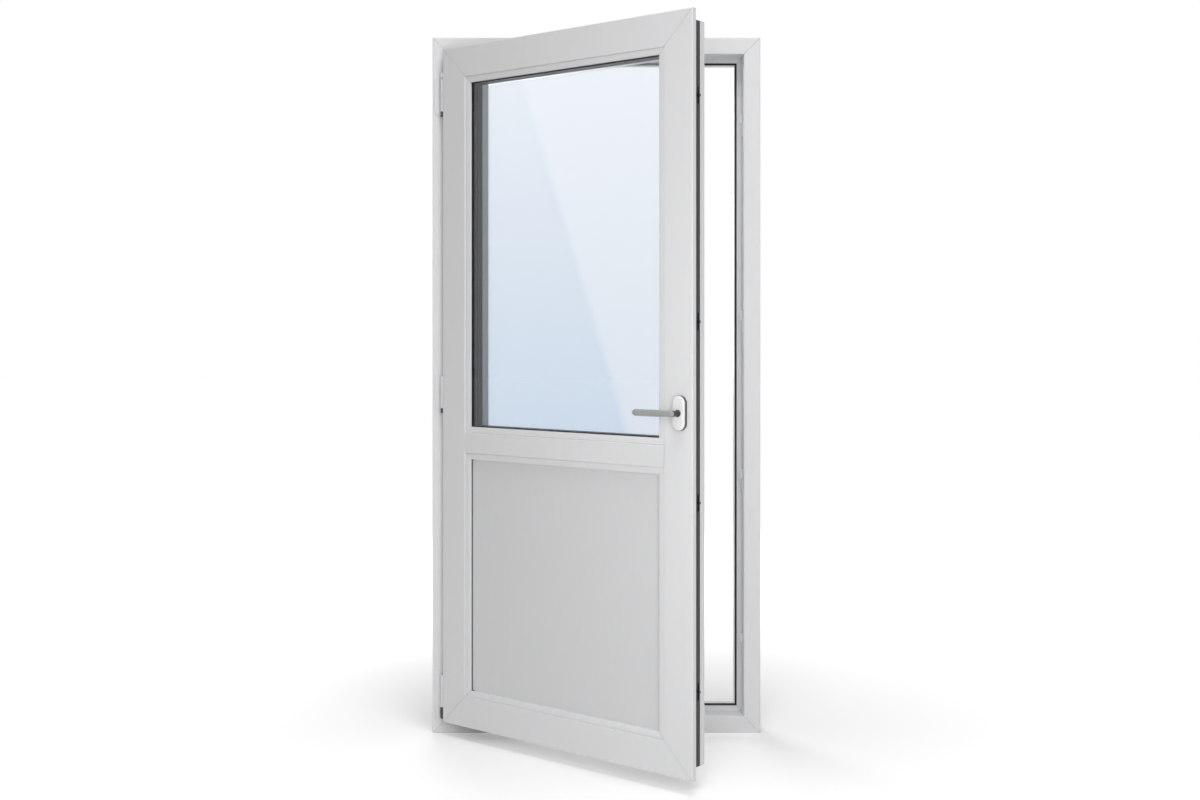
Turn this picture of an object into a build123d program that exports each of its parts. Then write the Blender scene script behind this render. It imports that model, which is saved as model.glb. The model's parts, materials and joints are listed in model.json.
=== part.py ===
# A white plastic-framed balcony door, half glazed and half panelled, that turns and tilts inward.
# Units are millimetres. X runs along the width, with the hinges at -X. Y runs from the room to the
# outside. Z is up, and the frame stands on Z = 0.
# Every piece is drawn with the door shut and with Y = 0 on the frame's room face. What hangs on the
# hinges is then swung open, and the whole is moved so that Y = 0 lies halfway through the frame.

import os

from build123d import *

# Overall frame
frame_width = 990.0
frame_height = 2100.0
open_angle = 38.4  # how far the sash stands open as it is stored

# Frame profile, measured inward from the frame's outside edge
frame_face = 50.0
frame_depth = 92.0
stop_reach = 24.0  # how far the stop stands past the face
stop_depth = 20.0

# Walls shared by both profiles
skin = 3.0
web = 2.0
edge_radius = 2.5
mitre_groove = 0.8  # bevel along the corner joints, which leaves a fine V between two bars
room_chamber = 10.0

# Sash profile, measured inward from the tip of the sash flange
flange_overlap = 10.0
air_gap = 12.0  # between the sash body and the frame, all round
flange_gap = 4.0  # between the flange and the frame's room face
stop_gap = 4.0  # between the sash body and the frame's stop
sash_proud = 20.0  # how far the sash stands into the room
sash_face = 92.0
lip_depth = 28.0

# Hardware groove round the edge of the sash body
groove_width = 18.0
groove_depth = 9.0
groove_centre = 38.0

# Steel inside the profiles
steel_wall = 1.5
steel_fit = 0.3
steel_end_gap = 6.0
frame_steel_depth = 32.0
sash_steel_depth = 38.0

# Glass unit, panel and beads
bead_width = 18.0
bead_step = 2.0  # from the sash face back to the bead's edge
bead_seam = 1.5  # bevel on the bead where it meets the bar
bead_tip = 6.0
bead_crown = 0.6
glass_thickness = 4.0
glass_cavity = 16.0
spacer_width = 12.0
edge_sealant = 4.0
glazing_gasket = 3.0
gasket_height = 7.0
gasket_lip = 1.5  # how far the gasket shows past the bead's edge
edge_clearance = 5.0
block_length = 100.0
block_from_corner = 90.0

# Transom between the glass and the panel
transom_centre = 883.0
transom_face = 60.0
transom_steel_height = 40.0

# Seals between sash and frame
seal_height = 6.0
seal_inset = 3.0
seal_round = 1.0
seal_play = 1.8  # what the seals leave free when the door is shut

# Hinges
lowest_hinge = 131.0  # above the frame's bottom, to the top of the lower barrel
middle_hinge = 1030.0
top_hinge_drop = 178.0  # below the frame's top
barrel_diameter = 15.0
barrel_length = 48.0
pin_diameter = 8.0
pin_running_fit = 0.05
knuckle_gap = 1.0
leaf_thickness = 3.0
leaf_width = 30.0
leaf_margin = 4.0
leaf_past_pin = 5.0
pin_to_flange = 8.2
pin_proud = 12.0  # how far the pins stand into the room from the frame's face
pin_head_diameter = 12.0
pin_head_length = 15.0
pin_end_margin = 3.0
hook_plate = 10.0  # depth of the plate that ties a hook to the flange's edge
tongue_reach = 14.0
tongue_margin = 5.0
tongue_fit = 0.1

# Bottom pivot: a block that turns on the lowest pin and carries the stub that the sash tilts on
tilt_axis_height = 58.0
stub_diameter = 6.0
stub_end = 2.0  # how far the stub stops short of the bearing's end
pivot_foot = 6.0  # from the tilt axis down to the block's lower end
pivot_play = 0.25
bearing_height = 16.0
retainer_height = 4.0

# Stay arm, which holds the top of the tilted sash
stay_length = 400.0  # from the hinge line to the slide pin
stay_width = 16.0
stay_thickness = 4.0
stay_strap = 2.5  # where it passes between the flange and the frame
stay_eye_height = 14.0
stay_height = 3.5  # above the sash body's top edge
stay_pin_diameter = 8.0
stay_pin_drop = 7.0  # below the sash body's top edge
stay_slot_length = 42.0
stay_slot_play = 1.4
stay_slot_shift = 10.5  # from the slide pin at rest back to the slot's middle
stay_notch_play = 1.0
riser_gap = 2.5  # between the arm's riser and the frame

# Handle
handle_height = 1000.0
handle_inset = 37.0
rosette_width = 40.0
rosette_height = 92.0
rosette_depth = 14.0
rosette_bevel = 2.5
neck_diameter = 17.0
lever_reach = 50.0
lever_length = 134.0
lever_height = 18.0
lever_depth = 11.0
lever_bevel = 2.0
spindle_size = 7.0
handle_play = 0.5

# Lock
faceplate_thickness = 2.5
rod_width = 9.0
rod_thickness = 3.0
rod_stroke = 18.0
rod_play = 0.4
rod_margin = 90.0  # from the corner of the glazing rebate to the rod's end
cam_diameter = 8.0
cam_height = 6.0
cams_above_bottom = (220.0, 720.0)  # from the sash's bottom edge
cams_below_top = (820.0, 220.0)  # from the sash's top edge
keep_length = 70.0
keep_width = 20.0
keep_base = 3.0
keep_lip = 3.0
keep_lip_height = 6.0
keep_lip_start = 7.0  # above the cam's middle when the handle is level
keep_play = 0.8
gearbox_height = 150.0
gearbox_depth = 28.0
gearbox_width = 14.0
gearbox_fit = 0.2
follower_diameter = 14.0
spindle_hole = 12.0

# Fixings through both jambs
fixing_diameter = 10.0
fixing_from_end = 250.0
middle_fixing = 1050.0
fixing_depth = 31.0
anchor_slot_width = 12.0  # punched through the steel, so that the anchor can be set anywhere near
anchor_slot_height = 20.0

# Sizes that follow from the ones above
sash_reveal = frame_face - flange_overlap
flange_width = flange_overlap + air_gap
sash_width = frame_width - 2 * sash_reveal
sash_front = -sash_proud
sash_back = frame_depth - stop_depth - stop_gap
flange_back = -flange_gap
lip_front = sash_back - lip_depth
stop_front = frame_depth - stop_depth
unit_back = lip_front - glazing_gasket
unit_thickness = 3 * glass_thickness + 2 * glass_cavity
unit_front = unit_back - unit_thickness
bead_back = unit_front - glazing_gasket
bead_front = sash_front + bead_step
half_width = sash_width / 2
sash_bottom = sash_reveal
sash_top = frame_height - sash_reveal
transom_top = transom_centre + transom_face / 2
transom_bottom = transom_centre - transom_face / 2
field_width = sash_width - 2 * sash_face
pin_x = -half_width - pin_to_flange
pin_y = -pin_proud
hinge_heights = (lowest_hinge, middle_hinge, frame_height - top_hinge_drop)
fixing_heights = (fixing_from_end, middle_fixing, frame_height - fixing_from_end)
cams_low = [sash_bottom + offset for offset in cams_above_bottom]
cams_high = [sash_top - offset for offset in cams_below_top]
cam_heights = cams_low + cams_high
pin_radius = pin_diameter / 2
bore_radius = pin_radius + pin_running_fit
barrel_radius = barrel_diameter / 2
handle_x = half_width - handle_inset
groove_floor = flange_width + groove_depth
sash_seal_proud = flange_gap - seal_play
frame_seal_proud = stop_gap - seal_play
rebate_floor = frame_width / 2 - frame_face

body_edge = half_width - flange_width
body_top = sash_top - flange_width
stay_bottom = hinge_heights[-1] + knuckle_gap + barrel_length + leaf_margin + knuckle_gap
gearbox_edge = body_edge - faceplate_thickness - rod_thickness - 2 * rod_play

# Where the pieces go: a fixed one moves back by half the frame's depth, and a hung one also swings
stand = Pos(0, -frame_depth / 2, 0)
swing = stand * Pos(pin_x, pin_y, 0) * Rot(0, 0, -open_angle) * Pos(-pin_x, -pin_y, 0)

os.makedirs("parts", exist_ok=True)


def write(piece, label):
    piece.label = label
    export_step(piece, f"parts/{label}.step")


def fix(piece, label):
    """Write a piece that belongs to the frame."""
    write(stand * piece, label)


def hang(piece, label):
    """Write a piece that hangs on the hinges."""
    write(swing * piece, label)


def side_plane(side, width, bottom, top):
    """The sketch plane at one end of a bar of a rectangle: local x is depth, local y is inward."""
    corners = {
        "bottom": ((-width / 2, 0, bottom), (0, 0, 1)),
        "top": ((width / 2, 0, top), (0, 0, -1)),
        "left": ((-width / 2, 0, top), (1, 0, 0)),
        "right": ((width / 2, 0, bottom), (-1, 0, 0)),
    }
    origin, inward = corners[side]
    along = Vector(0, 1, 0).cross(Vector(*inward))
    length = width if side in ("bottom", "top") else top - bottom
    return Plane(origin=origin, x_dir=(0, 1, 0), z_dir=along), length


def mitred_bar(draw, side, width, bottom, top, bevel_at=()):
    """One bar of a mitred rectangle, with its section drawn by draw().

    bevel_at lists (depth, way) of the flat faces whose corner joints get a bevel, where way is -1
    for a face toward the room and 1 for one toward the outside.
    """
    start, length = side_plane(side, width, bottom, top)
    with BuildPart() as bar:
        with BuildSketch(start):
            draw()
        extrude(amount=length)
        ends = (
            (start.origin, (start.y_dir - start.z_dir).normalized()),
            (start.origin + start.z_dir * length, (start.y_dir + start.z_dir).normalized()),
        )
        for corner, outward in ends:
            split(bisect_by=Plane(origin=corner, z_dir=outward), keep=Keep.BOTTOM)
            for depth, way in bevel_at:
                edge = Vector(corner.X, depth - way * mitre_groove, corner.Z)
                split(bisect_by=Plane(origin=edge, z_dir=outward + Vector(0, way, 0)), keep=Keep.BOTTOM)
    return bar.part


def mitred_ring(draw, width, bottom, top):
    """Four mitred bars joined into one ring, as a seal is that runs round its corners."""
    with BuildPart() as ring:
        for side in ("bottom", "right", "top", "left"):
            add(mitred_bar(draw, side, width, bottom, top))
    return ring.part


def pocket(y_low, y_high, in_low, in_high, mode=Mode.SUBTRACT):
    """A rectangle of a profile's section, given by its limits in depth and inward."""
    with Locations(((y_low + y_high) / 2, (in_low + in_high) / 2)):
        Rectangle(y_high - y_low, in_high - in_low, mode=mode)


def block(x_span, y_span, z_span, mode=Mode.ADD):
    """A box given by its limits along each axis."""
    spans = (x_span, y_span, z_span)
    middle = tuple((low + high) / 2 for low, high in spans)
    with Locations(middle):
        Box(*[high - low for low, high in spans], mode=mode)


def steel_tube(y_span, in_span):
    """A square steel tube that fills a chamber of a profile with a little room to slide in."""
    y_low, y_high = y_span[0] + steel_fit, y_span[1] - steel_fit
    in_low, in_high = in_span[0] + steel_fit, in_span[1] - steel_fit
    pocket(y_low, y_high, in_low, in_high, Mode.ADD)
    pocket(y_low + steel_wall, y_high - steel_wall, in_low + steel_wall, in_high - steel_wall)


# Chambers that take steel, as (depth span, inward span)
frame_steel_y = (skin + room_chamber + web, skin + room_chamber + web + frame_steel_depth)
frame_steel_in = (skin, frame_face - skin)
sash_steel_y = (flange_back, flange_back + sash_steel_depth)
sash_steel_in = (groove_floor + skin, sash_face - skin)
transom_steel_in = (-transom_steel_height / 2, transom_steel_height / 2)

groove_front = groove_centre - groove_width / 2
groove_back = groove_centre + groove_width / 2

# Section of the outer frame
with BuildSketch() as frame_section:
    stop_tip = frame_face + stop_reach
    with BuildLine():
        Polyline(
            (0, 0),
            (frame_depth, 0),
            (frame_depth, stop_tip),
            (stop_front, stop_tip),
            (stop_front, frame_face),
            (0, frame_face),
            close=True,
        )
    make_face()
    fillet(frame_section.vertices().group_by(Axis.X)[0], edge_radius)
    pocket(skin, skin + room_chamber, skin, frame_face - skin)
    pocket(*frame_steel_y, *frame_steel_in)
    outer_chamber = frame_steel_y[1] + web
    pocket(outer_chamber, stop_front, skin, frame_face - skin)
    pocket(stop_front + web, frame_depth - skin, skin, frame_face - skin)
    pocket(stop_front + skin, frame_depth - skin, frame_face - skin + web, stop_tip - skin)

# Section of the sash, with its flange, hardware groove and glazing lip
with BuildSketch() as sash_section:
    lip_tip = sash_face + bead_width
    with BuildLine():
        Polyline(
            (sash_front, 0),
            (flange_back, 0),
            (flange_back, flange_width),
            (sash_back, flange_width),
            (sash_back, lip_tip),
            (lip_front, lip_tip),
            (lip_front, sash_face),
            (sash_front, sash_face),
            close=True,
        )
    make_face()
    fillet(sash_section.vertices().group_by(Axis.X)[0], edge_radius)
    pocket(groove_front, groove_back, flange_width, groove_floor)
    pocket(sash_front + skin, flange_back - skin, skin, sash_face - skin)
    pocket(*sash_steel_y, *sash_steel_in)
    back_chamber = sash_steel_y[1] + web
    pocket(back_chamber, sash_back - skin, groove_floor + skin, sash_face - skin)
    pocket(lip_front + skin, sash_back - skin, sash_face - skin + web, lip_tip - skin)

# Section of the transom, the same above and below its middle
with BuildSketch() as transom_section:
    half_face = transom_face / 2
    half_lip = half_face + bead_width
    with BuildLine():
        Polyline(
            (sash_front, -half_face),
            (lip_front, -half_face),
            (lip_front, -half_lip),
            (sash_back, -half_lip),
            (sash_back, half_lip),
            (lip_front, half_lip),
            (lip_front, half_face),
            (sash_front, half_face),
            close=True,
        )
    make_face()
    fillet(transom_section.vertices().group_by(Axis.X)[0], edge_radius)
    pocket(sash_front + skin, flange_back - skin, skin - half_face, half_face - skin)
    pocket(*sash_steel_y, *transom_steel_in)
    pocket(back_chamber, sash_back - skin, skin - half_face, half_face - skin)

# Sections of the pieces that hold glass and panel, measured inward from the rebate floor
with BuildSketch() as bead_section:
    face_start = Vector(bead_front, bead_seam)
    face_end = Vector(bead_back - bead_tip, bead_width)
    crown = (face_end - face_start).rotate(Axis.Z, 90).normalized()
    with BuildLine():
        ThreePointArc(face_start, (face_start + face_end) / 2 + crown * bead_crown, face_end)
        Polyline(
            (bead_back - bead_tip, bead_width),
            (bead_back, bead_width),
            (bead_back, 0),
            (bead_front + bead_seam, 0),
            (bead_front, bead_seam),
        )
    make_face()

gasket_tip = bead_width + gasket_lip
with BuildSketch() as outside_gasket_section:
    pocket(unit_back, lip_front, gasket_tip - gasket_height, gasket_tip, Mode.ADD)

with BuildSketch() as room_gasket_section:
    pocket(bead_back, unit_front, gasket_tip - gasket_height, gasket_tip, Mode.ADD)

with BuildSketch() as frame_seal_section:
    seal_middle = frame_face + stop_reach - seal_inset - seal_height / 2
    seal_low = seal_middle - seal_height / 2
    seal_high = seal_middle + seal_height / 2
    pocket(stop_front - frame_seal_proud, stop_front, seal_low, seal_high, Mode.ADD)
    fillet(frame_seal_section.vertices().group_by(Axis.X)[0], seal_round)

with BuildSketch() as sash_seal_section:
    pocket(flange_back, flange_back + sash_seal_proud, seal_inset, seal_inset + seal_height, Mode.ADD)
    fillet(sash_seal_section.vertices().group_by(Axis.X)[-1], seal_round)

with BuildSketch() as faceplate_section:
    pocket(groove_front, groove_back, flange_width, flange_width + faceplate_thickness, Mode.ADD)

with BuildSketch() as frame_steel_section:
    steel_tube(frame_steel_y, frame_steel_in)

with BuildSketch() as sash_steel_section:
    steel_tube(sash_steel_y, sash_steel_in)

with BuildSketch() as transom_steel_section:
    steel_tube(sash_steel_y, transom_steel_in)


def straight_bar(section, side, width, bottom, top, end_gap):
    """A bar of a rectangle that is cut square and stops short of the corners."""
    start, length = side_plane(side, width, bottom, top)
    with BuildPart() as bar:
        with BuildSketch(start.offset(end_gap)):
            add(section.sketch)
        extrude(amount=length - 2 * end_gap)
    return bar.part


def section_of(sketch):
    return lambda: add(sketch.sketch)


def along_x(x_start, y, z):
    """A plane that faces +X, to draw round things that lie along the width."""
    return Plane(origin=(x_start, y, z), x_dir=(0, 1, 0), z_dir=(1, 0, 0))


def toward_outside(y_start, x, z):
    """A plane that faces +Y, to draw what goes through the depth."""
    return Plane(origin=(x, y_start, z), x_dir=(-1, 0, 0), z_dir=(0, 1, 0))


frame_rect = (frame_width, 0, frame_height)
sash_rect = (sash_width, sash_bottom, sash_top)
glass_rect = (field_width, transom_top, sash_top - sash_face)
panel_rect = (field_width, sash_bottom + sash_face, transom_bottom)
side_names = {"bottom": "bottom", "top": "top", "left": "hinge_side", "right": "lock_side"}
frame_names = {
    "bottom": "frame_sill",
    "top": "frame_head",
    "left": "frame_jamb_hinge",
    "right": "frame_jamb_lock",
}
sash_names = {
    "bottom": "sash_bottom_rail",
    "top": "sash_top_rail",
    "left": "sash_stile_hinge",
    "right": "sash_stile_lock",
}


def fixing_holes(x_low, x_high):
    """Holes for the wall anchors, drilled along X through a jamb."""
    for height in fixing_heights:
        with BuildSketch(along_x(x_low, fixing_depth, height)) as hole:
            Circle(fixing_diameter / 2)
        extrude(hole.sketch, amount=x_high - x_low, mode=Mode.SUBTRACT)


def anchor_slots(x_low, x_high):
    """Slots in a jamb's steel, behind the holes for the wall anchors."""
    depth_span = (fixing_depth - anchor_slot_width / 2, fixing_depth + anchor_slot_width / 2)
    for height in fixing_heights:
        height_span = (height - anchor_slot_height / 2, height + anchor_slot_height / 2)
        block((x_low, x_high), depth_span, height_span, Mode.SUBTRACT)


# Outer frame and its steels
jamb_spans = {
    "left": (-frame_width / 2, -frame_width / 2 + frame_face),
    "right": (frame_width / 2 - frame_face, frame_width / 2),
}
for side, label in frame_names.items():
    with BuildPart() as frame_bar:
        add(mitred_bar(section_of(frame_section), side, *frame_rect, ((0, -1), (frame_depth, 1))))
        if side in jamb_spans:
            fixing_holes(*jamb_spans[side])
    fix(frame_bar.part, label)
    with BuildPart() as frame_steel:
        add(straight_bar(frame_steel_section, side, *frame_rect, frame_face + steel_end_gap))
        if side in jamb_spans:
            anchor_slots(*jamb_spans[side])
    fix(frame_steel.part, f"frame_steel_{side_names[side]}")

fix(mitred_ring(section_of(frame_seal_section), *frame_rect), "frame_seal")


def lock_cuts():
    """What the lock takes out of its stile and the steel inside it."""
    half_width_cut = gearbox_width / 2 + gearbox_fit
    half_height_cut = gearbox_height / 2 + gearbox_fit
    block(
        (gearbox_edge - gearbox_depth - gearbox_fit, body_edge),
        (groove_centre - half_width_cut, groove_centre + half_width_cut),
        (handle_height - half_height_cut, handle_height + half_height_cut),
        Mode.SUBTRACT,
    )
    with BuildSketch(toward_outside(sash_front, handle_x, handle_height)) as hole:
        Circle(spindle_hole / 2)
    extrude(hole.sketch, amount=groove_centre - sash_front, mode=Mode.SUBTRACT)


def tongue_slots():
    """Slots in the flange's edge for the hinge tongues and the tilt bearing."""
    half_slot = room_chamber / 2
    edge = (-half_width, -half_width + skin)
    for height in hinge_heights:
        low = height + knuckle_gap + tongue_margin - tongue_fit
        high = height + knuckle_gap + barrel_length - tongue_margin + tongue_fit
        block(edge, (pin_y - half_slot, pin_y + half_slot), (low, high), Mode.SUBTRACT)
    half_bearing = bearing_height / 2 + tongue_fit
    span = (tilt_axis_height - half_bearing, tilt_axis_height + half_bearing)
    block(edge, (pin_y - half_slot, pin_y + half_slot), span, Mode.SUBTRACT)


# Sash, its steels and its seal
for side, label in sash_names.items():
    with BuildPart() as sash_bar:
        add(mitred_bar(section_of(sash_section), side, *sash_rect, ((sash_front, -1), (sash_back, 1))))
        if side == "right":
            lock_cuts()
        if side == "left":
            tongue_slots()
    hang(sash_bar.part, label)
    with BuildPart() as sash_steel:
        add(straight_bar(sash_steel_section, side, *sash_rect, sash_face + steel_end_gap))
        if side == "right":
            lock_cuts()
    hang(sash_steel.part, f"sash_steel_{side_names[side]}")

# The seal on the flange, notched where the stay arm's strap crosses it
with BuildPart() as sash_seal:
    add(mitred_ring(section_of(sash_seal_section), *sash_rect))
    notch = (stay_bottom - stay_notch_play, stay_bottom + stay_eye_height + stay_notch_play)
    block((-half_width, -body_edge), (flange_back, 0), notch, Mode.SUBTRACT)
hang(sash_seal.part, "sash_seal")

# Transom, with its lips cut back where they meet the stiles' lips
transom_start = along_x(-field_width / 2, 0, transom_centre)
with BuildPart() as transom:
    with BuildSketch(transom_start):
        add(transom_section.sketch)
    extrude(amount=field_width)
    lip_span = (transom_bottom - bead_width, transom_top + bead_width)
    for end in (-1, 1):
        near, far = sorted((end * field_width / 2, end * (field_width / 2 - bead_width)))
        block((near, far), (lip_front, sash_back), lip_span, Mode.SUBTRACT)
hang(transom.part, "transom")

with BuildPart() as transom_steel:
    with BuildSketch(transom_start.offset(steel_end_gap)):
        add(transom_steel_section.sketch)
    extrude(amount=field_width - 2 * steel_end_gap)
hang(transom_steel.part, "transom_steel")


def sheet(rect, y_low, y_high, inset, hollow=0.0):
    """A flat sheet, or a ring, that lies within a field of the sash."""
    width, bottom, top = rect
    with BuildPart() as piece:
        with BuildSketch(toward_outside(y_low, 0, (bottom + top) / 2)):
            Rectangle(width - 2 * inset, top - bottom - 2 * inset)
            if hollow:
                inner = inset + hollow
                Rectangle(width - 2 * inner, top - bottom - 2 * inner, mode=Mode.SUBTRACT)
        extrude(amount=y_high - y_low)
    return piece.part


def support_blocks(rect):
    """Two blocks that carry a pane or a panel on the bar below it."""
    width, bottom, top = rect
    reach = width / 2 - edge_clearance - block_from_corner
    with BuildPart() as blocks:
        for low in (-reach, reach - block_length):
            block((low, low + block_length), (unit_front, unit_back), (bottom, bottom + edge_clearance))
    return blocks.part


# Glass unit: three panes, with a spacer and sealant round both cavities
pane_step = glass_thickness + glass_cavity
for place, label in enumerate(("glass_inner", "glass_middle", "glass_outer")):
    pane_front = unit_front + place * pane_step
    hang(sheet(glass_rect, pane_front, pane_front + glass_thickness, edge_clearance), label)

cavity_fronts = (unit_front + glass_thickness, unit_front + glass_thickness + pane_step)
unit_rings = {
    "glass_edge_sealant": (edge_clearance, edge_sealant),
    "glass_spacer": (edge_clearance + edge_sealant, spacer_width),
}
for label, (inset, ring_width) in unit_rings.items():
    with BuildPart() as cavity_rings:
        for cavity_front in cavity_fronts:
            add(sheet(glass_rect, cavity_front, cavity_front + glass_cavity, inset, ring_width))
    hang(cavity_rings.part, label)

# Lower panel
hang(sheet(panel_rect, unit_front, unit_back, edge_clearance), "infill_panel")

# Gaskets, beads and blocks round the glass and the panel
for name, rect in (("glass", glass_rect), ("panel", panel_rect)):
    hang(mitred_ring(section_of(room_gasket_section), *rect), f"{name}_gasket_room")
    hang(mitred_ring(section_of(outside_gasket_section), *rect), f"{name}_gasket_outside")
    hang(support_blocks(rect), f"{name}_blocks")
    for side, where in side_names.items():
        hang(mitred_bar(section_of(bead_section), side, *rect), f"{name}_bead_{where}")


# Hinges
hinge_names = dict(zip(hinge_heights, ("bottom", "middle", "top")))
highest = hinge_heights[-1]
pivot_bottom = tilt_axis_height - pivot_foot
for height, name in hinge_names.items():
    barrel_bottom = height - barrel_length
    barrel_top = height + knuckle_gap + barrel_length
    leaf_bottom = barrel_bottom - leaf_margin
    if height == lowest_hinge:
        leaf_bottom = pivot_bottom - retainer_height
    with BuildPart() as frame_leaf:
        block(
            (pin_x + leaf_past_pin - leaf_width, pin_x + leaf_past_pin),
            (-leaf_thickness, 0),
            (leaf_bottom, barrel_top + leaf_margin),
        )
        chamfer(frame_leaf.edges().filter_by(Axis.Y), leaf_thickness)
        with BuildSketch(Plane.XY.offset(barrel_bottom)):
            with Locations((pin_x, pin_y)):
                Circle(barrel_radius)
            with Locations((pin_x - barrel_radius / 2, pin_y / 2)):
                Rectangle(barrel_radius, pin_proud)
            with Locations((pin_x, pin_y)):
                Circle(pin_radius, mode=Mode.SUBTRACT)
        extrude(amount=barrel_length)
    fix(frame_leaf.part, f"hinge_leaf_{name}")

    with BuildPart() as hook:
        with BuildSketch(Plane.XY.offset(height + knuckle_gap)):
            with Locations((pin_x, pin_y)):
                Circle(barrel_radius)
            with Locations(((pin_x - half_width) / 2, pin_y)):
                Rectangle(pin_to_flange, hook_plate)
            with Locations((pin_x, pin_y)):
                Circle(bore_radius, mode=Mode.SUBTRACT)
            with Locations((pin_x, pin_y + barrel_diameter / 2)):
                Rectangle(2 * bore_radius, barrel_diameter, mode=Mode.SUBTRACT)
        extrude(amount=barrel_length)
        block(
            (-half_width, -half_width + tongue_reach),
            (pin_y - room_chamber / 2 + tongue_fit, pin_y + room_chamber / 2 - tongue_fit),
            (height + knuckle_gap + tongue_margin, barrel_top - tongue_margin),
        )
    hang(hook.part, f"hinge_hook_{name}")

    with BuildPart() as pin:
        head_top = pivot_bottom - pivot_play if height == lowest_hinge else barrel_bottom
        head_length = retainer_height if height == lowest_hinge else pin_head_length
        with BuildSketch(Plane.XY.offset(head_top - head_length)):
            with Locations((pin_x, pin_y)):
                Circle(pin_head_diameter / 2)
        extrude(amount=head_length)
        with BuildSketch(Plane.XY.offset(head_top)):
            with Locations((pin_x, pin_y)):
                Circle(pin_radius)
        pin_end = stay_bottom + stay_eye_height if height == highest else barrel_top
        extrude(amount=pin_end - pin_end_margin - head_top)
    fix(pin.part, f"hinge_pin_{name}")

# Bottom pivot block on the lowest pin, and the bearing in the sash that its stub carries
pivot_top = lowest_hinge - barrel_length - pivot_play
bearing_end = -half_width + tongue_reach
with BuildPart() as pivot_block:
    with BuildSketch(Plane.XY.offset(pivot_bottom)):
        with Locations((pin_x, pin_y)):
            Circle(barrel_radius)
    extrude(amount=pivot_top - pivot_bottom)
    with BuildSketch(along_x(pin_x, pin_y, tilt_axis_height)):
        Circle(stub_diameter / 2)
    extrude(amount=bearing_end - stub_end - pin_x)
    with BuildSketch(Plane.XY.offset(pivot_bottom)):
        with Locations((pin_x, pin_y)):
            Circle(bore_radius)
    extrude(amount=pivot_top - pivot_bottom, mode=Mode.SUBTRACT)
hang(pivot_block.part, "pivot_block")

with BuildPart() as tilt_bearing:
    block(
        (-half_width, bearing_end),
        (pin_y - room_chamber / 2 + tongue_fit, pin_y + room_chamber / 2 - tongue_fit),
        (tilt_axis_height - bearing_height / 2, tilt_axis_height + bearing_height / 2),
    )
    with BuildSketch(along_x(-half_width, pin_y, tilt_axis_height)):
        Circle(stub_diameter / 2 + pin_running_fit)
    extrude(amount=tongue_reach, mode=Mode.SUBTRACT)
hang(tilt_bearing.part, "tilt_bearing")

# Stay arm: an eye on the top hinge's pin, a strap past the flange, a riser and the arm itself
strap_front = -(flange_gap + stay_strap) / 2
strap_back = strap_front + stay_strap
riser = (riser_gap - rebate_floor, riser_gap - rebate_floor + stay_thickness)
stay_top = body_top + stay_height + stay_thickness
with BuildPart() as stay_arm:
    with BuildSketch(Plane.XY.offset(stay_bottom)):
        with Locations((pin_x, pin_y)):
            Circle(barrel_radius)
    extrude(amount=stay_eye_height)
    eye_span = (stay_bottom, stay_bottom + stay_eye_height)
    block((pin_x - stay_strap, -half_width - knuckle_gap), (pin_y, strap_back), eye_span)
    block((pin_x, riser[1]), (strap_front, strap_back), eye_span)
    block(riser, (strap_front, groove_centre + stay_width / 2), (stay_bottom, stay_top))
    arm_end = pin_x + stay_length + stay_width / 2
    arm_depth = (groove_centre - stay_width / 2, groove_centre + stay_width / 2)
    block((riser[0], arm_end), arm_depth, (stay_top - stay_thickness, stay_top))
    with BuildSketch(Plane.XY.offset(body_top - stay_pin_drop)):
        with Locations((pin_x + stay_length, groove_centre)):
            Circle(stay_pin_diameter / 2)
    extrude(amount=stay_pin_drop + stay_height)
    with BuildSketch(Plane.XY.offset(stay_bottom)):
        with Locations((pin_x, pin_y)):
            Circle(bore_radius)
    extrude(amount=stay_eye_height, mode=Mode.SUBTRACT)
hang(stay_arm.part, "stay_arm")

# Handle: rosette on the stile, lever and neck in one, and the spindle into the lock
rosette_front = sash_front - rosette_depth
lever_front = sash_front - lever_reach
lever_back = lever_front + lever_depth
neck_end = sash_front - handle_play
with BuildPart() as rosette:
    with BuildSketch(toward_outside(rosette_front, handle_x, handle_height)):
        SlotOverall(rosette_height, rosette_width, rotation=90)
    extrude(amount=rosette_depth)
    chamfer(rosette.faces().sort_by(Axis.Y)[0].edges(), rosette_bevel)
    with BuildSketch(toward_outside(rosette_front, handle_x, handle_height)):
        Circle(neck_diameter / 2 + pin_running_fit)
    extrude(amount=rosette_depth, mode=Mode.SUBTRACT)
hang(rosette.part, "handle_rosette")

with BuildPart() as lever:
    with BuildSketch(toward_outside(lever_front, handle_x, handle_height)):
        with Locations(((lever_length - lever_height) / 2, 0)):
            SlotOverall(lever_length, lever_height)
    extrude(amount=lever_depth)
    chamfer(lever.faces().sort_by(Axis.Y)[0].edges(), lever_bevel)
    with BuildSketch(toward_outside(lever_back - lever_depth / 2, handle_x, handle_height)):
        Circle(neck_diameter / 2)
    extrude(amount=neck_end - lever_back + lever_depth / 2)
    with BuildSketch(toward_outside(neck_end, handle_x, handle_height)):
        Rectangle(spindle_size, spindle_size)
    extrude(amount=rosette_front - neck_end, mode=Mode.SUBTRACT)
hang(lever.part, "handle_lever")

spindle_start = rosette_front
spindle_end = groove_centre + gearbox_width / 2
with BuildPart() as spindle:
    with BuildSketch(toward_outside(spindle_start, handle_x, handle_height)):
        Rectangle(spindle_size, spindle_size)
    extrude(amount=spindle_end - spindle_start)
hang(spindle.part, "handle_spindle")

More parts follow.
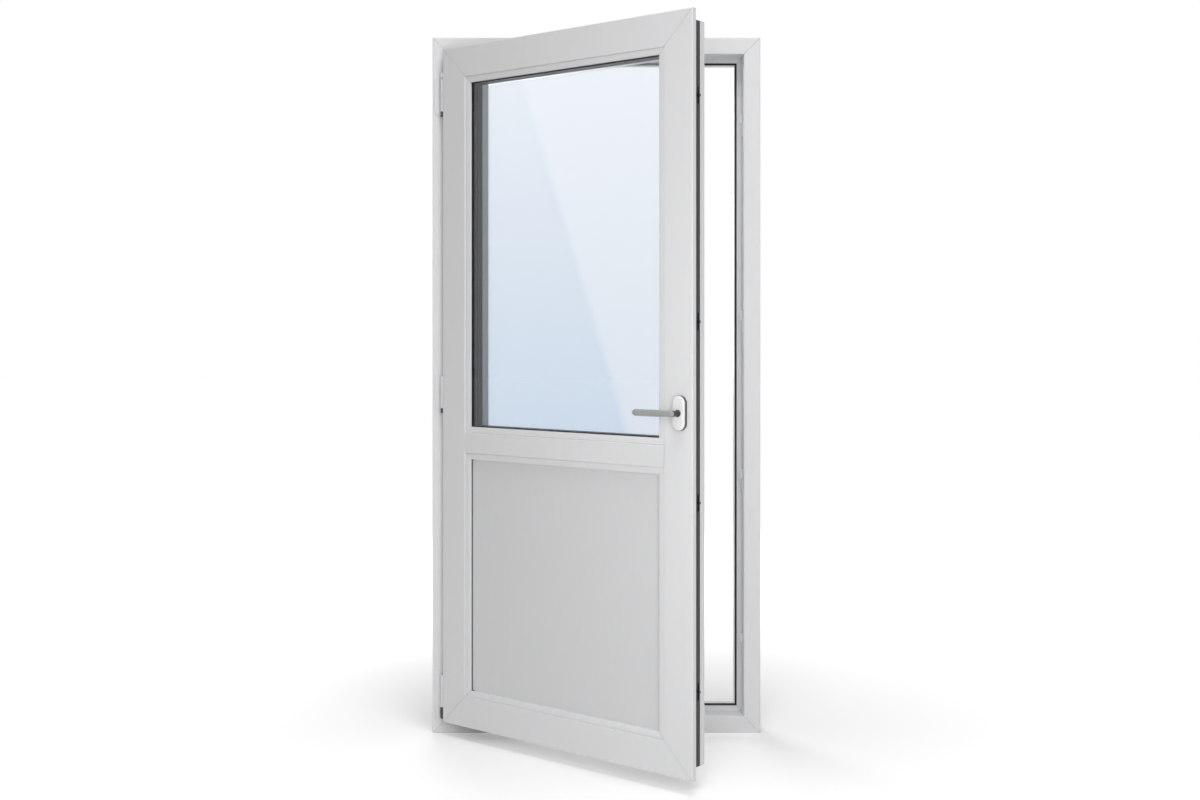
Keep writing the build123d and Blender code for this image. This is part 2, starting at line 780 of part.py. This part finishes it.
# Lock: faceplate in the groove, gearbox behind it, the follower that the handle turns, and the rod
rod_bottom = sash_bottom + sash_face + rod_margin
rod_top = sash_top - sash_face - rod_margin
plate_back = body_edge - faceplate_thickness
slot_centre = pin_x + stay_length - stay_slot_shift
cam_slot_width = cam_diameter + 2 * rod_play
with BuildPart() as faceplate:
    add(mitred_ring(section_of(faceplate_section), *sash_rect))
    for height in cam_heights:
        with BuildSketch(along_x(plate_back, groove_centre, height)):
            Rectangle(cam_slot_width, 2 * rod_stroke + cam_slot_width)
        extrude(amount=faceplate_thickness, mode=Mode.SUBTRACT)
    with BuildSketch(Plane.XY.offset(body_top - faceplate_thickness)):
        with Locations((slot_centre, groove_centre)):
            SlotOverall(stay_slot_length, stay_pin_diameter + 2 * stay_slot_play)
    extrude(amount=faceplate_thickness, mode=Mode.SUBTRACT)
hang(faceplate.part, "lock_faceplate")

with BuildPart() as gearbox:
    block(
        (gearbox_edge - gearbox_depth, gearbox_edge),
        (groove_centre - gearbox_width / 2, groove_centre + gearbox_width / 2),
        (handle_height - gearbox_height / 2, handle_height + gearbox_height / 2),
    )
    with BuildSketch(toward_outside(groove_centre - gearbox_width / 2, handle_x, handle_height)):
        Circle(follower_diameter / 2 + pin_running_fit)
    extrude(amount=gearbox_width, mode=Mode.SUBTRACT)
hang(gearbox.part, "lock_gearbox")

with BuildPart() as follower:
    with BuildSketch(toward_outside(groove_centre - gearbox_width / 2, handle_x, handle_height)):
        Circle(follower_diameter / 2)
        Rectangle(spindle_size, spindle_size, mode=Mode.SUBTRACT)
    extrude(amount=gearbox_width)
hang(follower.part, "lock_follower")

rod_front = gearbox_edge + rod_play
with BuildPart() as drive_rod:
    block(
        (rod_front, rod_front + rod_thickness),
        (groove_centre - rod_width / 2, groove_centre + rod_width / 2),
        (rod_bottom, rod_top),
    )
    for height in cam_heights:
        with BuildSketch(along_x(rod_front, groove_centre, height)):
            Circle(cam_diameter / 2)
        extrude(amount=body_edge + cam_height - rod_front)
hang(drive_rod.part, "drive_rod")

# Keeps on the frame, whose lips hold the cams only while the handle points down
keep_front = groove_centre - cam_diameter / 2 - keep_play - keep_lip
with BuildPart() as keeps:
    for height in cam_heights:
        low = height - keep_length / 2
        high = height + keep_length / 2
        block((rebate_floor - keep_base, rebate_floor), (keep_front, keep_front + keep_width), (low, high))
        block(
            (rebate_floor - keep_base - keep_lip_height, rebate_floor - keep_base),
            (keep_front, keep_front + keep_lip),
            (height + keep_lip_start, high),
        )
fix(keeps.part, "lock_keeps")
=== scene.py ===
import json
import math

import bmesh
import bpy
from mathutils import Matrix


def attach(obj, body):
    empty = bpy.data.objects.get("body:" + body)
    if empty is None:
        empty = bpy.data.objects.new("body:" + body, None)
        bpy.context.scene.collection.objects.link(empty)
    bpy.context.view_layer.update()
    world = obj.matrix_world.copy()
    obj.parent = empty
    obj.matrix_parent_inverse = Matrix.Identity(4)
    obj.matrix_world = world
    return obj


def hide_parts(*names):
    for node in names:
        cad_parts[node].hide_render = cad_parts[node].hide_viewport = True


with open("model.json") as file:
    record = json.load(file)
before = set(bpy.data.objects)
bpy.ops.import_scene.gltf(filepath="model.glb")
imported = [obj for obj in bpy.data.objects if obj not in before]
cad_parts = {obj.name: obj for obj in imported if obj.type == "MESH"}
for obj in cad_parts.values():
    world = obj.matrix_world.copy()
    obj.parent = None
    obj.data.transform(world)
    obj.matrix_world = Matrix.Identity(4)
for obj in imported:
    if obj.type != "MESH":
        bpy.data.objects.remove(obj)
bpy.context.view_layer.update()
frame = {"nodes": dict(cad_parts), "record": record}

nodes = frame["nodes"]
record = frame["record"]

# Where the door hangs and how it is drawn, in metres
HINGE = (-0.4632, -0.058)
OPEN_ANGLE = math.radians(38.4)
FRAME_SPAN = (0.495, 0.0, 2.1)  # half width, bottom and top
SASH_SPAN = (0.455, 0.04, 2.06)
GLASS_Z = (0.913, 1.968)  # bottom and top of the glass that shows
HINGE_HEIGHTS = {"hinge_pin_bottom": 0.131, "hinge_pin_middle": 1.03, "hinge_pin_top": 1.922}
# The panel gasket's dark part, nearer the hinge line than this, is a painted shadow
GASKET_SPLIT = 0.13  # how far from the hinge line the panel's gasket turns white

# Welded corners: half the width of the line's core and of its fading edge, and its shade
WELD_WIDTH = (0.0004, 0.0014)
WELD_SHADE = 0.72

# Colours of the two-tone surfaces beyond their limit
PIN_CAP = (0.74, 0.75, 0.76)
GASKET_WHITE = (0.74, 0.745, 0.75)

# White plastic, and how far its red, green and blue lie below and above its level
FRAME_WHITE = 0.80
# The panel's white lies below the frame's as a painted shade for its recess
PANEL_SHADED_WHITE = 0.72
PVC_BELOW = (0.012, 0.006, 0.0)
PVC_ABOVE = (0.0, 0.004, 0.008)
PVC_ROUGH = (0.28, 0.4)
PVC_GRAIN = 60.0
PVC_RELIEF = 0.04

# What every surface shares unless it says otherwise
NOISE_DETAIL = 3.0
COLOUR_STOPS = (0.3, 0.7)
RELIEF_HEIGHT = 0.0002
RELIEF_STRENGTH = 0.1
EVEN = (1.0, 1.0, 1.0)
DRAWN_UP = (1.0, 1.0, 0.1)  # noise stretched along the height
DRAWN_LONG = (0.1, 1.0, 1.0)  # noise stretched along the width
PVC_DRAWN = (1.0, 1.0, 0.2)

# Handle, drawn with the door shut: along the width, out from the frame's room face, and up, in metres
CAD_FACE = -0.046  # where the frame's room face lies
HANDLE_X = 0.418
HANDLE_Z = 1.0
LEVER_ENDS = (0.427, 0.293)
LEVER_MIDDLE = -0.0645
LEVER_HALF = (0.0055, 0.009)  # half its depth and half its height
LEVER_POWER = 2.1  # 2 is a plain oval, and more is squarer
LEVER_STEPS = 40
WAIST = 0.86  # how slim the grip is at its waist
WAIST_PLACE = 0.62  # 1 is the end beside the neck, and -1 is the tip
WAIST_SPREAD = 0.28
RING_POINTS = 28
NECK_PROFILE = (  # outward place and radius
    (-0.0343, 0.0096),
    (-0.0358, 0.0096),
    (-0.0372, 0.0079),
    (-0.048, 0.0072),
    (-0.058, 0.0084),
    (-0.063, 0.0076),
)
ROSETTE_HALF = (0.02, 0.046)
ROSETTE_BASE = ((-0.0201, 0.0), (-0.0284, 0.0), (-0.0289, 0.0008))  # outward place and inset
ROSETTE_CAP = (
    (-0.0288, 0.0006),
    (-0.0306, 0.0006),
    (-0.0322, 0.0011),
    (-0.0333, 0.0022),
    (-0.0339, 0.0042),
    (-0.034, 0.007),
)

# Camera, fitted to the photograph: level, in front of the door, with the picture shifted down
CAMERA_PLACE = (0.0106, -4.344, 1.226)
CAMERA_LENS = 42.7
SENSOR_WIDTH = 36.0
IMAGE_WIDTH = 1200
HORIZON_ABOVE_MIDDLE = 73  # in pixels

# Glass: what all panes share
GLASS_CLEAR = (0.985, 0.99, 0.995)
GLASS_IOR = 1.45
GLASS_SHINE = 0.12  # how much the panes mirror
GLASS_WAVES = 1.5
GLASS_DETAIL = 2.0
GLASS_RELIEF = (0.002, 0.0005)  # strength and height

# The middle pane's blue tint at its bottom and top, on the hinge side and the lock side of a slanting
# line; paler toward the top and on the lock side, a painted reflection
REFLECTION_DIM_LOW = (0.6, 0.7, 0.82)
REFLECTION_DIM_HIGH = (0.84, 0.89, 0.945)
SHEEN_LOW = (0.72, 0.775, 0.86)
SHEEN_HIGH = (0.88, 0.925, 0.955)
SHEEN_SLOPE = 0.3828
SHEEN_EDGE = (1.026, 1.056)  # where the slanting line begins and ends

# Floor and light: places and sizes in metres, powers in watts
FLOOR_SIZE = 60.0
FLOOR_GREY = 0.86
FLOOR_ROUGH = 0.9
FLOOR_GLOW = (0.22, 0.773)  # near the door and far from it
FLOOR_FADE = (0.5, 2.4)  # where near ends and far begins
WHITE = (1.0, 1.0, 1.0, 1.0)
WORLD_DARK = 0.02
WORLD_BRIGHT = 0.36
WORLD_TOWARD = (-0.15, -0.85, 0.5)  # where the world is brightest
WORLD_FADE = (-0.2, 0.9)  # facing away from it and towards it
KEY_POWER = 19.0
KEY_SIZE = 1.4
KEY_PLACE = (0.2, -2.25, 1.15)
TOP_POWER = 58.0
TOP_SIZE = 1.5
TOP_PLACE = (0.4, -1.6, 4.4)
BACK_POWER = 75.0
BACK_SIZE = 2.0
BACK_PLACE = (-0.9, 3.6, 1.9)
TARGET = (0.0, -0.1, 1.0)  # what the lamps are aimed at


def new_material(name):
    """An empty node material with its shader and output linked."""
    material = bpy.data.materials.new(name)
    material.use_nodes = True
    tree = material.node_tree
    shader = tree.nodes["Principled BSDF"]
    return material, tree, shader


def add_node(tree, kind, **inputs):
    """A node with some of its inputs set, where _ stands for a space."""
    node = tree.nodes.new(kind)
    for name, value in inputs.items():
        node.inputs[name.replace("_", " ")].default_value = value
    return node


def object_noise(tree, scale, detail, stretch=EVEN):
    """Noise in the object's own coordinates, stretched along an axis where asked."""
    coords = tree.nodes.new("ShaderNodeTexCoord")
    mapping = tree.nodes.new("ShaderNodeMapping")
    mapping.inputs["Scale"].default_value = stretch
    tree.links.new(coords.outputs["Object"], mapping.inputs["Vector"])
    noise = add_node(tree, "ShaderNodeTexNoise", Scale=scale, Detail=detail)
    tree.links.new(mapping.outputs["Vector"], noise.inputs["Vector"])
    return noise


def ramp(tree, source, stops):
    """A colour ramp fed by a value."""
    node = tree.nodes.new("ShaderNodeValToRGB")
    node.color_ramp.elements[0].position = stops[0][0]
    node.color_ramp.elements[0].color = (*stops[0][1], 1.0)
    node.color_ramp.elements[1].position = stops[-1][0]
    node.color_ramp.elements[1].color = (*stops[-1][1], 1.0)
    for position, color in stops[1:-1]:
        element = node.color_ramp.elements.new(position)
        element.color = (*color, 1.0)
    tree.links.new(source, node.inputs["Fac"])
    return node


def value_range(tree, source, low, high, start=0.0, end=1.0):
    """A value that goes from low to high while the source goes from start to end, and stops there."""
    node = add_node(tree, "ShaderNodeMapRange", From_Min=start, From_Max=end, To_Min=low, To_Max=high)
    tree.links.new(source, node.inputs["Value"])
    return node.outputs["Result"]


def bump(tree, shader, source, strength, distance):
    """Fine relief on a surface."""
    node = add_node(tree, "ShaderNodeBump", Strength=strength, Distance=distance)
    tree.links.new(source, node.inputs["Height"])
    tree.links.new(node.outputs["Normal"], shader.inputs["Normal"])


def surface(name, dark, light, rough, grain, stretch=EVEN, metallic=0.0, relief=RELIEF_STRENGTH):
    """A surface whose colour, gloss and relief all vary a little, as moulded or rolled ones do."""
    material, tree, shader = new_material(name)
    noise = object_noise(tree, grain, NOISE_DETAIL, stretch)
    colors = ramp(tree, noise.outputs["Fac"], list(zip(COLOUR_STOPS, (dark, light))))
    tree.links.new(colors.outputs["Color"], shader.inputs["Base Color"])
    gloss = value_range(tree, noise.outputs["Fac"], *rough)
    tree.links.new(gloss, shader.inputs["Roughness"])
    shader.inputs["Metallic"].default_value = metallic
    bump(tree, shader, noise.outputs["Fac"], relief, RELIEF_HEIGHT)
    return material


def white_pvc(name, level):
    """Extruded white PVC: satin, with faint draw lines along the profile and a slight cool tint."""
    dark = tuple(level - step for step in PVC_BELOW)
    light = tuple(level + step for step in PVC_ABOVE)
    return surface(name, dark, light, PVC_ROUGH, PVC_GRAIN, PVC_DRAWN, relief=PVC_RELIEF)


def math_node(tree, operation, first, second=None):
    """A math node fed by sockets or plain numbers."""
    node = tree.nodes.new("ShaderNodeMath")
    node.operation = operation
    for place, value in enumerate((first, second)):
        if isinstance(value, (int, float)):
            node.inputs[place].default_value = value
        elif value is not None:
            tree.links.new(value, node.inputs[place])
    return node.outputs["Value"]


def along_sash(tree, coords, slope=0.0):
    """How far a point lies along the sash from the hinge line, plus slope times its height."""
    dot = tree.nodes.new("ShaderNodeVectorMath")
    dot.operation = "DOT_PRODUCT"
    along = (math.cos(OPEN_ANGLE), -math.sin(OPEN_ANGLE), slope)
    dot.inputs[1].default_value = along
    tree.links.new(coords, dot.inputs[0])
    hinge_line = HINGE[0] * along[0] + HINGE[1] * along[1]
    return math_node(tree, "SUBTRACT", dot.outputs["Value"], hinge_line)


def welded(material, span, on_sash):
    """Add the fine grey line of the welded corners, where the bars of a rectangle meet."""
    half_width, bottom, top = span
    tree = material.node_tree
    shader = tree.nodes["Principled BSDF"]
    coords = tree.nodes.new("ShaderNodeTexCoord").outputs["Object"]
    axes = tree.nodes.new("ShaderNodeSeparateXYZ")
    tree.links.new(coords, axes.inputs["Vector"])
    across = axes.outputs["X"]
    if on_sash:
        across = math_node(tree, "SUBTRACT", along_sash(tree, coords), -HINGE[0])
    side = math_node(tree, "SUBTRACT", half_width, math_node(tree, "ABSOLUTE", across))
    from_middle = math_node(tree, "SUBTRACT", axes.outputs["Z"], (bottom + top) / 2)
    end = math_node(tree, "SUBTRACT", (top - bottom) / 2, math_node(tree, "ABSOLUTE", from_middle))
    off_line = math_node(tree, "ABSOLUTE", math_node(tree, "SUBTRACT", side, end))
    line = value_range(tree, off_line, WELD_SHADE, 1.0, *WELD_WIDTH)
    shade = tree.nodes.new("ShaderNodeMix")
    shade.data_type = "RGBA"
    shade.blend_type = "MULTIPLY"
    shade.inputs["Factor"].default_value = 1.0
    base = shader.inputs["Base Color"].links[0].from_socket
    tree.links.new(base, shade.inputs["A"])
    tree.links.new(line, shade.inputs["B"])
    tree.links.new(shade.outputs["Result"], shader.inputs["Base Color"])
    return material


def clear_glass(name):
    """Float glass with a very slight waviness."""
    material, tree, shader = new_material(name)
    shader.inputs["Base Color"].default_value = (*GLASS_CLEAR, 1.0)
    shader.inputs["Transmission Weight"].default_value = 1.0
    shader.inputs["Roughness"].default_value = 0.0
    shader.inputs["IOR"].default_value = GLASS_IOR
    shader.inputs["Specular IOR Level"].default_value = GLASS_SHINE
    noise = object_noise(tree, GLASS_WAVES, GLASS_DETAIL)
    bump(tree, shader, noise.outputs["Fac"], *GLASS_RELIEF)
    return material


def glass_with_painted_reflection(name):
    """The middle pane: a blue tint with a painted reflection that leaves it deeper downward and on the
    hinge side of a slanting line.
    """
    material = clear_glass(name)
    tree = material.node_tree
    shader = tree.nodes["Principled BSDF"]
    coords = tree.nodes.new("ShaderNodeTexCoord").outputs["Object"]
    axes = tree.nodes.new("ShaderNodeSeparateXYZ")
    tree.links.new(coords, axes.inputs["Vector"])
    height = value_range(tree, axes.outputs["Z"], 0.0, 1.0, *GLASS_Z)
    reflection_dim = ramp(tree, height, [(0.0, REFLECTION_DIM_LOW), (1.0, REFLECTION_DIM_HIGH)])
    reflection_sheen = ramp(tree, height, [(0.0, SHEEN_LOW), (1.0, SHEEN_HIGH)])
    sheen_mask = value_range(tree, along_sash(tree, coords, SHEEN_SLOPE), 0.0, 1.0, *SHEEN_EDGE)
    # painted reflection: the blue turns paler on the lock side of the slanting line and toward the top
    tint = tree.nodes.new("ShaderNodeMix")
    tint.data_type = "RGBA"
    tree.links.new(sheen_mask, tint.inputs["Factor"])
    tree.links.new(reflection_dim.outputs["Color"], tint.inputs["A"])
    tree.links.new(reflection_sheen.outputs["Color"], tint.inputs["B"])
    tree.links.new(tint.outputs["Result"], shader.inputs["Base Color"])
    return material


materials = {
    "white_pvc": welded(white_pvc("frame_pvc", FRAME_WHITE), FRAME_SPAN, False),
    "sash_pvc": welded(white_pvc("sash_pvc", FRAME_WHITE), SASH_SPAN, True),
    # the panel's darker white is a painted shade for its recess
    "panel_white": white_pvc("panel_white", PANEL_SHADED_WHITE),
    "clear_glass": clear_glass("clear_glass"),
    "middle_glass_painted_reflection": glass_with_painted_reflection("middle_glass_painted_reflection"),
}

# The other finishes: the two ends of the colour, the two ends of the roughness, the grain, and the rest
FINISHES = {
    "reinforcement_steel": dict(
        dark=(0.45, 0.46, 0.48), light=(0.6, 0.61, 0.62), rough=(0.3, 0.5), grain=40.0, metallic=1.0
    ),
    "black_seal": dict(
        dark=(0.008, 0.008, 0.009), light=(0.02, 0.02, 0.021), rough=(0.5, 0.7), grain=300.0, relief=0.2
    ),
    "spacer_metal": dict(
        dark=(0.012, 0.012, 0.014), light=(0.022, 0.022, 0.025), rough=(0.4, 0.6), grain=200.0
    ),
    "dark_sealant": dict(
        dark=(0.01, 0.01, 0.01), light=(0.02, 0.02, 0.02), rough=(0.6, 0.8), grain=200.0
    ),
    "block_plastic": dict(
        dark=(0.02, 0.03, 0.04), light=(0.03, 0.04, 0.05), rough=(0.5, 0.6), grain=150.0
    ),
    "hinge_white": dict(
        dark=(0.74, 0.75, 0.76), light=(0.78, 0.79, 0.8), rough=(0.25, 0.35), grain=400.0, relief=0.15
    ),
    "hinge_steel": dict(
        dark=(0.06, 0.06, 0.065), light=(0.1, 0.1, 0.105), rough=(0.35, 0.5), grain=200.0, metallic=0.8
    ),
    "handle_metal": dict(
        dark=(0.3, 0.31, 0.31),
        light=(0.38, 0.39, 0.39),
        rough=(0.25, 0.4),
        grain=300.0,
        stretch=DRAWN_LONG,
        metallic=0.15,
    ),
    "rosette_white": dict(
        dark=(0.86, 0.865, 0.87), light=(0.89, 0.895, 0.9), rough=(0.2, 0.3), grain=400.0
    ),
    # The rosette's base ring is near-black as a painted shade on its side walls
    "rosette_rim_painted_shade": dict(
        dark=(0.07, 0.07, 0.075), light=(0.1, 0.1, 0.105), rough=(0.35, 0.5), grain=300.0
    ),
    # The neck is near-black as a painted shade
    "neck_painted_shade": dict(
        dark=(0.03, 0.03, 0.032), light=(0.05, 0.05, 0.053), rough=(0.3, 0.45), grain=300.0, metallic=0.3
    ),
    "keep_zinc": dict(
        dark=(0.62, 0.63, 0.64), light=(0.72, 0.73, 0.74), rough=(0.35, 0.5), grain=250.0, metallic=0.4
    ),
    # Lock hardware in a dark coating, made near-black also as a painted shade for the groove it sits in
    "lock_steel": dict(
        dark=(0.012, 0.012, 0.013),
        light=(0.024, 0.024, 0.026),
        rough=(0.4, 0.55),
        grain=150.0,
        stretch=DRAWN_UP,
    ),
    # Dark colour of the panel's gasket, kept only on the hinge side as a painted shadow
    "panel_gasket": dict(
        dark=(0.03, 0.03, 0.03), light=(0.05, 0.05, 0.05), rough=(0.5, 0.7), grain=300.0
    ),
}
PIN_STEEL = dict(dark=(0.06, 0.06, 0.065), light=(0.1, 0.1, 0.105), rough=(0.35, 0.5), grain=200.0)
for name, finish in FINISHES.items():
    materials[name] = surface(name, **finish)


def two_tone(material, where, limit, color):
    """Give a material another colour beyond a limit, such as above a height."""
    tree = material.node_tree
    shader = tree.nodes["Principled BSDF"]
    first = shader.inputs["Base Color"].links[0].from_socket
    second = tree.nodes.new("ShaderNodeMix")
    second.data_type = "RGBA"
    second.inputs["B"].default_value = (*color, 1.0)
    tree.links.new(math_node(tree, "GREATER_THAN", where, limit), second.inputs["Factor"])
    tree.links.new(first, second.inputs["A"])
    tree.links.new(second.outputs["Result"], shader.inputs["Base Color"])
    return material


def pin_caps(name, split):
    """A hinge pin with a white cap above a height and a dark adjusting end below it."""
    material = surface(name, **PIN_STEEL)
    tree = material.node_tree
    axes = tree.nodes.new("ShaderNodeSeparateXYZ")
    coords = tree.nodes.new("ShaderNodeTexCoord").outputs["Object"]
    tree.links.new(coords, axes.inputs["Vector"])
    return two_tone(material, axes.outputs["Z"], split, PIN_CAP)


def gasket_painted_shadow_on_hinge_side(material):
    """The panel's gasket is dark on the hinge side, a painted shadow in the gap there, and white like
    the bead elsewhere.
    """
    tree = material.node_tree
    coords = tree.nodes.new("ShaderNodeTexCoord").outputs["Object"]
    return two_tone(material, along_sash(tree, coords), GASKET_SPLIT, GASKET_WHITE)


finishes = {part["node"]: part["material_slot"] for part in record["subparts"]}
# the middle pane takes the glass with the painted reflection
finishes["glass_middle"] = "middle_glass_painted_reflection"
finishes["panel_gasket_room"] = "panel_gasket"
finishes["stay_arm"] = "keep_zinc"
gasket_painted_shadow_on_hinge_side(materials["panel_gasket"])
for name, height in HINGE_HEIGHTS.items():
    materials[name] = pin_caps(name, height)
    finishes[name] = name
for name, finish in finishes.items():  # the hung bars have their own weld lines
    if finish == "white_pvc" and not name.startswith("frame"):
        finish = "sash_pvc"
    for held in nodes[name].material_slots:
        held.link = "OBJECT"
        held.material = materials[finish]


def swung(x, y, z):
    """Where a point of the shut door lies once the door stands open."""
    along = x - HINGE[0]
    away = y + CAD_FACE - HINGE[1]
    turned_x = HINGE[0] + along * math.cos(OPEN_ANGLE) + away * math.sin(OPEN_ANGLE)
    turned_y = HINGE[1] - along * math.sin(OPEN_ANGLE) + away * math.cos(OPEN_ANGLE)
    return (turned_x, turned_y, z)


def skin_rings(name, rings, finish, body, node):
    """A closed smooth piece through a row of rings, riding on a body in place of a node."""
    count = len(rings[0])
    points = [swung(*point) for ring in rings for point in ring]
    faces = []
    for row in range(len(rings) - 1):
        for place in range(count):
            after = (place + 1) % count
            low = row * count
            high = low + count
            faces.append((low + place, low + after, high + after, high + place))
    faces.append(tuple(reversed(range(count))))
    faces.append(tuple(range(len(points) - count, len(points))))
    mesh = bpy.data.meshes.new(name)
    mesh.from_pydata(points, [], faces)
    shell = bmesh.new()
    shell.from_mesh(mesh)
    bmesh.ops.recalc_face_normals(shell, faces=shell.faces)
    for face in shell.faces:
        face.smooth = len(face.verts) == 4  # all but the two ends
    shell.to_mesh(mesh)
    shell.free()
    piece = bpy.data.objects.new(name, mesh)
    bpy.context.scene.collection.objects.link(piece)
    mesh.materials.append(materials[finish])
    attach(piece, body)
    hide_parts(node)


def rounded(angle, half_a, half_b, power):
    """A point of a soft-cornered oval."""
    cos = math.cos(angle)
    sin = math.sin(angle)
    a = math.copysign(abs(cos) ** (2 / power), cos) * half_a
    b = math.copysign(abs(sin) ** (2 / power), sin) * half_b
    return a, b


def add_lever():
    """The grip: a soft bar with round ends and a slight waist near the neck."""
    angles = [2 * math.pi * step / RING_POINTS for step in range(RING_POINTS)]
    start, end = LEVER_ENDS
    middle = (start + end) / 2
    half_length = abs(start - end) / 2
    rings = []
    for step in range(1, LEVER_STEPS):
        lean = math.cos(math.pi * step / LEVER_STEPS)
        from_end = half_length * (1 - abs(lean))
        round_off = 1.0
        if from_end < LEVER_HALF[1]:
            round_off = math.sqrt(1 - (1 - from_end / LEVER_HALF[1]) ** 2)
        slim = 1 - (1 - WAIST) * math.exp(-((lean - WAIST_PLACE) / WAIST_SPREAD) ** 2)
        half_depth = LEVER_HALF[0] * math.sqrt(round_off)
        half_height = LEVER_HALF[1] * round_off * slim
        x = middle + (start - middle) * lean
        ring = []
        for angle in angles:
            out, up = rounded(angle, half_depth, half_height, LEVER_POWER)
            ring.append((x, LEVER_MIDDLE + out, HANDLE_Z + up))
        rings.append(ring)
    skin_rings("lever_grip", rings, "handle_metal", "handle", "handle_lever")


def add_neck():
    """The neck between the rosette and the grip, near-black as a painted shade."""
    rings = []
    for y, radius in NECK_PROFILE:
        ring = []
        for step in range(RING_POINTS):
            angle = 2 * math.pi * step / RING_POINTS
            ring.append((HANDLE_X + radius * math.cos(angle), y, HANDLE_Z + radius * math.sin(angle)))
        rings.append(ring)
    skin_rings("lever_neck", rings, "neck_painted_shade", "handle", "handle_lever")


def add_rosette_layer(name, profile, finish):
    """One layer of the round-ended plate behind the handle, stepped in by each ring's inset."""
    half_width, half_height = ROSETTE_HALF
    straight = half_height - half_width
    rings = []
    for y, inset in profile:
        radius = half_width - inset
        ring = []
        for step in range(RING_POINTS * 2):
            angle = math.pi * (step + 0.5) / RING_POINTS
            up = math.copysign(straight, math.sin(angle)) + radius * math.sin(angle)
            ring.append((HANDLE_X + radius * math.cos(angle), y, HANDLE_Z + up))
        rings.append(ring)
    skin_rings(name, rings, finish, "sash", "handle_rosette")


def direct_view(tree):
    """1 where the camera sees a surface itself, in a reflection or through the glass."""
    paths = tree.nodes.new("ShaderNodeLightPath")
    seen = paths.outputs["Is Camera Ray"]
    for name in ("Is Glossy Ray", "Is Transmission Ray"):
        seen = math_node(tree, "MAXIMUM", seen, paths.outputs[name])
    return seen


def add_floor():
    """A wide pale floor that keeps the door's shadow and fades to white away from it."""
    mesh = bpy.data.meshes.new("floor")
    half = FLOOR_SIZE / 2
    corners = [(-half, -half, 0), (half, -half, 0), (half, half, 0), (-half, half, 0)]
    mesh.from_pydata(corners, [], [(0, 1, 2, 3)])
    floor = bpy.data.objects.new("floor", mesh)
    bpy.context.scene.collection.objects.link(floor)
    material, tree, shader = new_material("floor")
    shader.inputs["Base Color"].default_value = (FLOOR_GREY, FLOOR_GREY, FLOOR_GREY, 1.0)
    shader.inputs["Roughness"].default_value = FLOOR_ROUGH
    shader.inputs["Emission Color"].default_value = WHITE
    coords = tree.nodes.new("ShaderNodeTexCoord").outputs["Object"]
    away = tree.nodes.new("ShaderNodeVectorMath")
    away.operation = "LENGTH"
    tree.links.new(coords, away.inputs[0])
    glow = value_range(tree, away.outputs["Value"], *FLOOR_GLOW, *FLOOR_FADE)
    shown = math_node(tree, "MULTIPLY", glow, direct_view(tree))
    tree.links.new(shown, shader.inputs["Emission Strength"])
    mesh.materials.append(material)


def add_area_light(name, place, size, power, mirrored=True):
    """A soft square lamp aimed at the door, which the panes mirror only if asked."""
    data = bpy.data.lights.new(name, "AREA")
    data.size = size
    data.energy = power
    lamp = bpy.data.objects.new(name, data)
    bpy.context.scene.collection.objects.link(lamp)
    lamp.location = place
    reach = [t - p for t, p in zip(TARGET, place)]
    turn = math.atan2(reach[1], reach[0]) - math.pi / 2
    fall = math.atan2(math.hypot(reach[0], reach[1]), -reach[2])
    lamp.rotation_euler = (fall, 0.0, turn)
    lamp.visible_camera = False
    lamp.visible_transmission = False
    lamp.visible_glossy = mirrored


def set_world():
    """Soft light that comes mostly from the room side, and plain white where the camera sees it."""
    world = bpy.data.worlds.new("studio")
    bpy.context.scene.world = world
    world.use_nodes = True
    tree = world.node_tree
    background = tree.nodes["Background"]
    background.inputs["Color"].default_value = WHITE
    coords = tree.nodes.new("ShaderNodeTexCoord")
    toward = tree.nodes.new("ShaderNodeVectorMath")
    toward.operation = "DOT_PRODUCT"
    toward.inputs[1].default_value = WORLD_TOWARD
    tree.links.new(coords.outputs["Generated"], toward.inputs[0])
    soft = value_range(tree, toward.outputs["Value"], WORLD_DARK, WORLD_BRIGHT, *WORLD_FADE)
    strength = math_node(tree, "MAXIMUM", soft, direct_view(tree))
    tree.links.new(strength, background.inputs["Strength"])


def add_camera():
    """The photograph's view, with the camera level."""
    data = bpy.data.cameras.new("camera")
    data.sensor_width = SENSOR_WIDTH
    data.lens = CAMERA_LENS
    data.shift_y = -HORIZON_ABOVE_MIDDLE / IMAGE_WIDTH
    camera = bpy.data.objects.new("camera", data)
    bpy.context.scene.collection.objects.link(camera)
    camera.location = CAMERA_PLACE
    camera.rotation_euler = (math.pi / 2, 0.0, 0.0)
    bpy.context.scene.camera = camera


add_lever()
add_neck()
# the base ring's near-black is a painted shade on the rosette's sides
add_rosette_layer("rosette_base", ROSETTE_BASE, "rosette_rim_painted_shade")
add_rosette_layer("rosette_cap", ROSETTE_CAP, "rosette_white")
add_floor()
add_area_light("key", KEY_PLACE, KEY_SIZE, KEY_POWER, mirrored=False)
add_area_light("top", TOP_PLACE, TOP_SIZE, TOP_POWER)
add_area_light("back", BACK_PLACE, BACK_SIZE, BACK_POWER)
set_world()
add_camera()
bpy.context.scene.view_settings.view_transform = "Standard"
